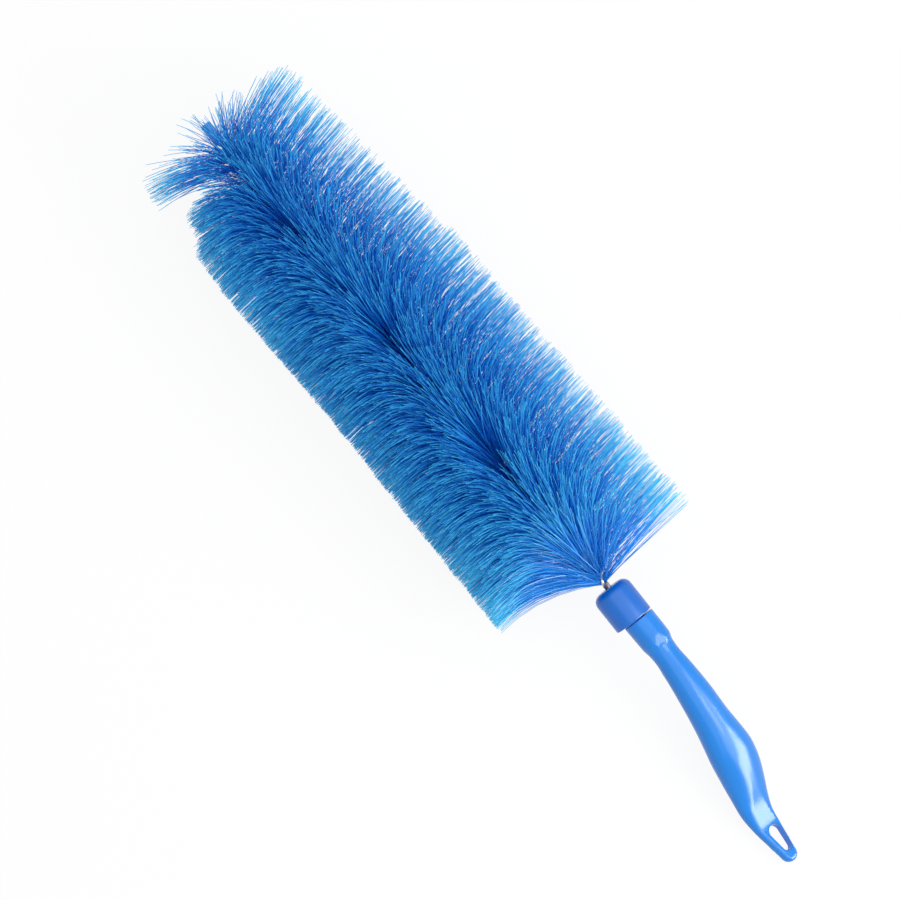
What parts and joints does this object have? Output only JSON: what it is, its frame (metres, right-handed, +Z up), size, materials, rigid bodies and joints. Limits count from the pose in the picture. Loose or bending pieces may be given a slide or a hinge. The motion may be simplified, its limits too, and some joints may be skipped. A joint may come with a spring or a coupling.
{
  "type": "ceiling fan brush",
  "caption": "Long twisted-in-wire brush head of soft blue filaments, screwed by its collar to a moulded ergonomic handle with a hang loop.",
  "frame": {"origin": "on the table that the brush lies on, under the middle of its bounding box", "axes": "+X along the collar from the head's tip towards the handle's end, in plan, and +Z up"},
  "size_m": [0.6282, 0.1554, 0.117],
  "materials": {
    "handle": "glossy moulded plastic",
    "collar": "satin moulded plastic",
    "stem_anchor": "plain moulded plastic",
    "core_wire": "galvanised drawn wire",
    "tip_cap": "satin moulded plastic",
    "filament": "extruded filament"
  },
  "bodies": {
    "head": {"collar": "collar", "stem_anchor": "stem_anchor", "core_wire_a": "core_wire", "core_wire_b": "core_wire", "tip_cap": "tip_cap", "bristles_01": "filament", "bristles_02": "filament", "bristles_03": "filament", "bristles_04": "filament", "bristles_05": "filament", "bristles_06": "filament", "bristles_07": "filament", "bristles_08": "filament", "bristles_09": "filament", "bristles_10": "filament", "bristles_11": "filament", "bristles_12": "filament", "bristles_13": "filament", "bristles_14": "filament", "bristles_15": "filament", "bristles_16": "filament", "bristles_17": "filament"},
    "grip": {"handle": "handle"}
  },
  "joints": [
    {"name": "handle_unscrew", "type": "slide", "parent": "head", "child": "grip", "axis": [0.9994, 0, -0.0349], "range_m": [0, 0.02]}
  ]
}
